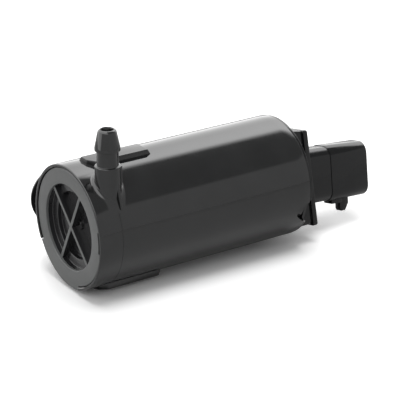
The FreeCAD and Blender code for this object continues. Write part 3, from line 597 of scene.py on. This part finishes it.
def colourNode(tree, source, dark, light):
    blend = tree.nodes.new("ShaderNodeValToRGB")
    for stop, place, colour in zip(blend.color_ramp.elements, noiseSpan, (dark, light)):
        stop.position = place
        stop.color = (*colour, 1)
    tree.links.new(source, blend.inputs["Fac"])
    return blend.outputs["Color"]


def bumpNode(tree, source, strength, distance, normal=None):
    bump = tree.nodes.new("ShaderNodeBump")
    bump.inputs["Strength"].default_value = strength
    bump.inputs["Distance"].default_value = distance * mm
    tree.links.new(source, bump.inputs["Height"])
    if normal:
        tree.links.new(normal, bump.inputs["Normal"])
    return bump.outputs["Normal"]


def moulding(name, look):
    # moulded plastic: a little colour drift, uneven gloss, soft waves and a fine skin
    look = {**moulded, **look}
    material, tree, shader = newMaterial(name)
    drift = noiseNode(tree, look["driftScale"], 3)
    gloss = noiseNode(tree, look["glossScale"], 4)
    skin = noiseNode(tree, look["skinScale"], 2)
    waves = noiseNode(tree, look["waveScale"], 1)
    tree.links.new(colourNode(tree, drift.outputs["Fac"], look["dark"], look["light"]), shader.inputs["Base Color"])
    tree.links.new(rangeNode(tree, gloss.outputs["Fac"], *look["roughness"]), shader.inputs["Roughness"])
    fine = bumpNode(tree, skin.outputs["Fac"], look["skin"], look["skinDepth"])
    wide = bumpNode(tree, waves.outputs["Fac"], look["wave"], look["waveDepth"], fine)
    tree.links.new(wide, shader.inputs["Normal"])
    shader.inputs["IOR"].default_value = look["ior"]
    return material


def recessShadeAndGlossMask(tree, depth, radius):
    # 1 on the recess's walls and floor, 0 on the cap's face and the ribs' fronts; it marks where a darker colour
    # paints shade into the recess, and where the roughness changes
    coords = tree.nodes.new("ShaderNodeTexCoord")
    split = tree.nodes.new("ShaderNodeSeparateXYZ")
    tree.links.new(coords.outputs["Object"], split.inputs["Vector"])
    flat = tree.nodes.new("ShaderNodeCombineXYZ")
    tree.links.new(split.outputs["Y"], flat.inputs["Y"])
    tree.links.new(split.outputs["Z"], flat.inputs["Z"])
    length = tree.nodes.new("ShaderNodeVectorMath")
    length.operation = "LENGTH"
    tree.links.new(flat.outputs["Vector"], length.inputs[0])
    deep = tree.nodes.new("ShaderNodeMath")
    deep.operation = "GREATER_THAN"
    deep.inputs[1].default_value = depth * mm
    tree.links.new(split.outputs["X"], deep.inputs[0])
    within = tree.nodes.new("ShaderNodeMath")
    within.operation = "LESS_THAN"
    within.inputs[1].default_value = radius * mm
    tree.links.new(length.outputs["Value"], within.inputs[0])
    both = tree.nodes.new("ShaderNodeMath")
    both.operation = "MULTIPLY"
    tree.links.new(deep.outputs["Value"], both.inputs[0])
    tree.links.new(within.outputs["Value"], both.inputs[1])
    return both.outputs["Value"]


def capMoulding(name, look):
    # a satin face round a polished recess, whose darker colour is painted shade
    material = moulding(name, look)
    tree = material.node_tree
    shader = tree.nodes["Principled BSDF"]
    shadeAndGlossMask = recessShadeAndGlossMask(tree, look["recessDepth"], look["recessRadius"])
    # the recess colour is painted shade: a dark base colour stands in for the shade deep in the recess
    for socket, value, kind in (("Base Color", (*look["recessShadeColour"], 1), "RGBA"),
                                ("Roughness", look["recessRoughness"], "FLOAT")):
        mix = tree.nodes.new("ShaderNodeMix")
        mix.data_type = kind
        shown = "RGBA" if kind == "RGBA" else "VALUE"
        first, second = [i for i in mix.inputs if i.name in ("A", "B") and i.type == shown]
        tree.links.new(shadeAndGlossMask, mix.inputs["Factor"])
        tree.links.new(shader.inputs[socket].links[0].from_socket, first)
        second.default_value = value
        result = [o for o in mix.outputs if o.type == shown][0]
        tree.links.new(result, shader.inputs[socket])
    return material


def metal(name, look):
    # worked metal: brushed or drawn along one axis, with stains in its gloss
    look = {**worked, **look}
    material, tree, shader = newMaterial(name)
    stain = noiseNode(tree, look["stainScale"], 4)
    marks = noiseNode(tree, look["markScale"], 3, 0.6, look["stretch"])
    tree.links.new(colourNode(tree, stain.outputs["Fac"], look["dark"], look["light"]), shader.inputs["Base Color"])
    tree.links.new(rangeNode(tree, marks.outputs["Fac"], *look["roughness"]), shader.inputs["Roughness"])
    tree.links.new(bumpNode(tree, marks.outputs["Fac"], look["mark"], look["markDepth"]), shader.inputs["Normal"])
    shader.inputs["Metallic"].default_value = look["metallic"]
    return material


def grainy(name, look):
    # pressed or sintered stuff and rubber: dull, with a grain
    look = {**pressed, **look}
    material, tree, shader = newMaterial(name)
    grain = noiseNode(tree, look["grainScale"], 5, 0.65)
    tree.links.new(colourNode(tree, grain.outputs["Fac"], look["dark"], look["light"]), shader.inputs["Base Color"])
    tree.links.new(rangeNode(tree, grain.outputs["Fac"], *look["roughness"]), shader.inputs["Roughness"])
    tree.links.new(bumpNode(tree, grain.outputs["Fac"], look["grain"], look["grainDepth"]), shader.inputs["Normal"])
    shader.inputs["Metallic"].default_value = look["metallic"]
    return material


finishes = {
    "black_moulding": (moulding, {"dark": (0.0065, 0.0068, 0.007), "light": (0.011, 0.0113, 0.0116),
                                  "roughness": (0.07, 0.12), "skinScale": 2600, "skin": 0.04}),
    # cap_moulding's recess colour is painted shade for the deep recess
    "cap_moulding": (capMoulding, {"dark": (0.088, 0.091, 0.09), "light": (0.102, 0.105, 0.104),
                                   "roughness": (0.36, 0.46), "skinScale": 3200, "skin": 0.25,
                                   "recessDepth": 0.82, "recessRadius": 13.25, "recessShadeColour": (0.016, 0.016, 0.017),
                                   "recessRoughness": 0.2}),
    "connector_moulding": (moulding, {"dark": (0.0042, 0.0044, 0.0047), "light": (0.0068, 0.007, 0.0074),
                                      "roughness": (0.13, 0.2), "skinScale": 2600, "skin": 0.08, "ior": 1.38}),
    "inner_moulding": (moulding, {"dark": (0.02, 0.02, 0.02), "light": (0.03, 0.03, 0.03),
                                  "roughness": (0.35, 0.5), "skinScale": 2400, "skin": 0.2}),
    "impeller_moulding": (moulding, {"dark": (0.68, 0.67, 0.62), "light": (0.78, 0.77, 0.73),
                                     "roughness": (0.3, 0.42), "skinScale": 2200, "skin": 0.15}),
    "filter_moulding": (moulding, {"dark": (0.03, 0.03, 0.03), "light": (0.045, 0.045, 0.045),
                                   "roughness": (0.4, 0.5), "skinScale": 2600, "skin": 0.2}),
    "bell_moulding": (moulding, {"dark": (0.1, 0.08, 0.06), "light": (0.14, 0.115, 0.09),
                                 "roughness": (0.4, 0.55), "skinScale": 1800, "skin": 0.3}),
    "seal_rubber": (grainy, {"dark": (0.012, 0.012, 0.012), "light": (0.022, 0.022, 0.022),
                             "roughness": (0.55, 0.75), "grainScale": 1500}),
    "ferrite": (grainy, {"dark": (0.03, 0.03, 0.033), "light": (0.055, 0.055, 0.06),
                         "roughness": (0.5, 0.7), "grainScale": 2200}),
    "carbon": (grainy, {"dark": (0.02, 0.02, 0.02), "light": (0.05, 0.05, 0.052),
                        "roughness": (0.4, 0.65), "grainScale": 2600}),
    "fibre": (grainy, {"dark": (0.25, 0.16, 0.09), "light": (0.42, 0.3, 0.18),
                       "roughness": (0.6, 0.8), "grainScale": 1400}),
    "bearing_bronze": (grainy, {"dark": (0.36, 0.22, 0.1), "light": (0.55, 0.37, 0.18),
                                "roughness": (0.35, 0.55), "grainScale": 2800, "metallic": 1.0}),
    "plain_steel": (metal, {"dark": (0.45, 0.45, 0.46), "light": (0.6, 0.6, 0.61), "roughness": (0.18, 0.32)}),
    "can_steel": (metal, {"dark": (0.42, 0.42, 0.44), "light": (0.56, 0.56, 0.58), "roughness": (0.28, 0.45)}),
    "core_steel": (metal, {"dark": (0.16, 0.16, 0.18), "light": (0.3, 0.3, 0.32), "roughness": (0.35, 0.55),
                           "stretch": (1, 0.05, 0.05), "markScale": 1600, "mark": 0.6}),
    "contact_brass": (metal, {"dark": (0.62, 0.55, 0.38), "light": (0.78, 0.72, 0.55), "roughness": (0.2, 0.35)}),
    "copper_wire": (metal, {"dark": (0.4, 0.13, 0.05), "light": (0.62, 0.24, 0.1), "roughness": (0.2, 0.35),
                            "stretch": (0.04, 1, 1), "markScale": 1400, "mark": 0.8}),
    "copper_bar": (metal, {"dark": (0.6, 0.3, 0.18), "light": (0.78, 0.42, 0.27), "roughness": (0.2, 0.35),
                           "stretch": (1, 0.05, 0.05)}),
}
materials = {}
for slot, (maker, look) in finishes.items():
    materials[slot] = maker(slot, look)
print("materials made:", len(materials))


def dress(piece, slot):
    piece.data.materials.clear()
    piece.data.materials.append(materials[slot])


for part in frame["record"]["subparts"]:
    dress(nodes[part["node"]], part["material_slot"])

dress(makeHousing(), "black_moulding")
dress(makeEndCap(), "cap_moulding")
dress(makeConnectorCap(), "connector_moulding")


# Studio: floor, lamps, sky and camera

# the floor's near and far lift and its ramp are a painted glow: camera-only emission that rises away from the pump
# and whitens the outer part of its shadow
studio = {"floorZ": housingLow.z, "floorSize": 0.9, "floorColour": 0.72, "nearPaintedGlow": 0.02, "farPaintedGlow": 0.5,
          "glowFrom": 0.03, "glowTo": 0.06, "glowCentre": (0.03, -0.02), "glowStretch": 0.8, "fill": 0.3}
# name, size in metres, watts and place of each soft lamp
lamps = (("overhead", 0.45, 4.2, (0.0, -0.1, 0.78)), ("leftSide", 0.5, 1.8, (-0.45, -0.28, 0.45)))
# strength of the sky that glossy surfaces mirror, by the sine of the elevation;
# slant and pivot make the back panel's upper edge drop towards +X
sky = {
    "back": ((0.0, 2.5), (0.2, 2.3), (0.35, 2.35), (0.5, 2.85), (0.63, 3.9), (0.75, 5.2), (0.775, 5.2), (0.825, 0.4)),
    "front": ((0.0, 0.85), (0.53, 0.85), (0.57, 0.38)),
    "leftFront": ((0.0, 0.8), (0.4, 0.8), (0.5, 3.5), (1.0, 3.5)),
    "leftBack": ((0.0, 2.6), (0.4, 2.6), (0.5, 3.5), (1.0, 3.5)),
    "slant": 0.45, "pivot": 0.515, "backFade": (0.0, 0.1), "leftFade": (-0.15, -0.35),
}
view = {"target": (46.38, 0.0, -2.15), "azimuth": -34.0, "elevation": 22.63, "distance": 564.9, "lens": 166.5}


def makeFloor():
    deselectAll()
    bpy.ops.mesh.primitive_plane_add(size=studio["floorSize"])
    floor = bpy.context.object
    floor.data.transform(Matrix.Translation((0, 0, studio["floorZ"])))
    floor.name = "floor"
    material, tree, shader = newMaterial("palePaper")
    path = tree.nodes.new("ShaderNodeLightPath")
    tree.links.new(mixNode(tree, path.outputs["Is Camera Ray"], studio["floorColour"], 1.0),
                   shader.inputs["Base Color"])
    # painted light: for the camera only, the paper glows more away from the pump, which whitens the outer part of the
    # pump's shadow
    coords = tree.nodes.new("ShaderNodeTexCoord")
    mapping = tree.nodes.new("ShaderNodeMapping")
    stretch, (x, y) = studio["glowStretch"], studio["glowCentre"]
    mapping.inputs["Location"].default_value = (-x * stretch, -y, -studio["floorZ"])
    mapping.inputs["Scale"].default_value = (stretch, 1, 1)
    tree.links.new(coords.outputs["Object"], mapping.inputs["Vector"])
    away = tree.nodes.new("ShaderNodeVectorMath")
    away.operation = "LENGTH"
    tree.links.new(mapping.outputs["Vector"], away.inputs[0])
    fade = tree.nodes.new("ShaderNodeMapRange")
    fade.interpolation_type = "SMOOTHSTEP"
    for socket, value in (("From Min", studio["glowFrom"]), ("From Max", studio["glowTo"]),
                          ("To Min", studio["nearPaintedGlow"]), ("To Max", studio["farPaintedGlow"])):
        fade.inputs[socket].default_value = value
    tree.links.new(away.outputs["Value"], fade.inputs["Value"])
    tree.links.new(mixNode(tree, path.outputs["Is Camera Ray"], 0.0, fade.outputs["Result"]),
                   shader.inputs["Emission Strength"])
    shader.inputs["Emission Color"].default_value = (1, 1, 1, 1)
    shader.inputs["Roughness"].default_value = 0.9
    shader.inputs["Specular IOR Level"].default_value = 0.1
    floor.data.materials.append(material)
    print("floor laid")


def makeLamps():
    for name, size, watts, place in lamps:
        data = bpy.data.lights.new(name, "AREA")
        data.shape = "DISK"
        data.size = size
        data.energy = watts
        lamp = bpy.data.objects.new(name, data)
        scene.collection.objects.link(lamp)
        lamp.location = place
        aim = Vector(view["target"]) * mm - lamp.location
        lamp.rotation_euler = aim.to_track_quat("-Z", "Y").to_euler()
        lamp.visible_glossy = False
    print("lamps hung")


def curveNode(tree, value, points):
    # a line through (place, strength) points, as a colour ramp over 0 to 1
    peak = max(strength for place, strength in points)
    node = tree.nodes.new("ShaderNodeValToRGB")
    stops = node.color_ramp.elements
    while len(stops) < len(points):
        stops.new(0.5)
    for stop, (place, strength) in zip(stops, points):
        stop.position = place
        stop.color = (strength / peak,) * 3 + (1,)
    tree.links.new(value, node.inputs["Fac"])
    scale = tree.nodes.new("ShaderNodeMath")
    scale.operation = "MULTIPLY"
    scale.inputs[1].default_value = peak
    tree.links.new(node.outputs["Color"], scale.inputs[0])
    return scale.outputs["Value"]


def mixNode(tree, factor, first, second):
    mix = tree.nodes.new("ShaderNodeMix")
    mix.data_type = "FLOAT"
    for socket, value in ((mix.inputs["Factor"], factor), (mix.inputs["A"], first), (mix.inputs["B"], second)):
        if isinstance(value, (int, float)):
            socket.default_value = value
        else:
            tree.links.new(value, socket)
    return mix.outputs["Result"]


def makeSky():
    world = bpy.data.worlds.new("studio")
    scene.world = world
    world.use_nodes = True
    tree = world.node_tree
    background = tree.nodes["Background"]
    background.inputs["Color"].default_value = (1, 1, 1, 1)
    coords = tree.nodes.new("ShaderNodeTexCoord")
    split = tree.nodes.new("ShaderNodeSeparateXYZ")
    tree.links.new(coords.outputs["Generated"], split.inputs["Vector"])
    side = tree.nodes.new("ShaderNodeMapRange")
    side.inputs["From Min"].default_value = sky["backFade"][0]
    side.inputs["From Max"].default_value = sky["backFade"][1]
    tree.links.new(split.outputs["Y"], side.inputs["Value"])
    slanted = tree.nodes.new("ShaderNodeMath")
    slanted.operation = "MULTIPLY_ADD"
    slanted.inputs[1].default_value = sky["slant"]
    tree.links.new(split.outputs["X"], slanted.inputs[0])
    lowered = tree.nodes.new("ShaderNodeMath")
    lowered.operation = "ADD"
    lowered.inputs[1].default_value = -sky["slant"] * sky["pivot"]
    tree.links.new(split.outputs["Z"], lowered.inputs[0])
    tree.links.new(lowered.outputs["Value"], slanted.inputs[2])
    left = tree.nodes.new("ShaderNodeMapRange")
    left.inputs["From Min"].default_value = sky["leftFade"][0]
    left.inputs["From Max"].default_value = sky["leftFade"][1]
    tree.links.new(split.outputs["X"], left.inputs["Value"])
    front = mixNode(tree, left.outputs["Result"], curveNode(tree, split.outputs["Z"], sky["front"]),
                    curveNode(tree, split.outputs["Z"], sky["leftFront"]))
    back = mixNode(tree, left.outputs["Result"], curveNode(tree, slanted.outputs["Value"], sky["back"]),
                   curveNode(tree, split.outputs["Z"], sky["leftBack"]))
    mirrored = mixNode(tree, side.outputs["Result"], front, back)
    path = tree.nodes.new("ShaderNodeLightPath")
    glossy = mixNode(tree, path.outputs["Is Glossy Ray"], studio["fill"], mirrored)
    strength = mixNode(tree, path.outputs["Is Camera Ray"], glossy, 1.0)
    tree.links.new(strength, background.inputs["Strength"])
    print("sky set")


def makeCamera():
    azimuth = math.radians(view["azimuth"])
    elevation = math.radians(view["elevation"])
    away = Vector((math.sin(azimuth) * math.cos(elevation), -math.cos(azimuth) * math.cos(elevation),
                   math.sin(elevation)))
    target = Vector(view["target"]) * mm
    data = bpy.data.cameras.new("camera")
    data.lens = view["lens"]
    data.clip_start = 0.01
    camera = bpy.data.objects.new("camera", data)
    scene.collection.objects.link(camera)
    camera.location = target + away * view["distance"] * mm
    camera.rotation_euler = (-away).to_track_quat("-Z", "Y").to_euler()
    scene.camera = camera
    print("camera placed")


makeFloor()
makeLamps()
makeSky()
makeCamera()
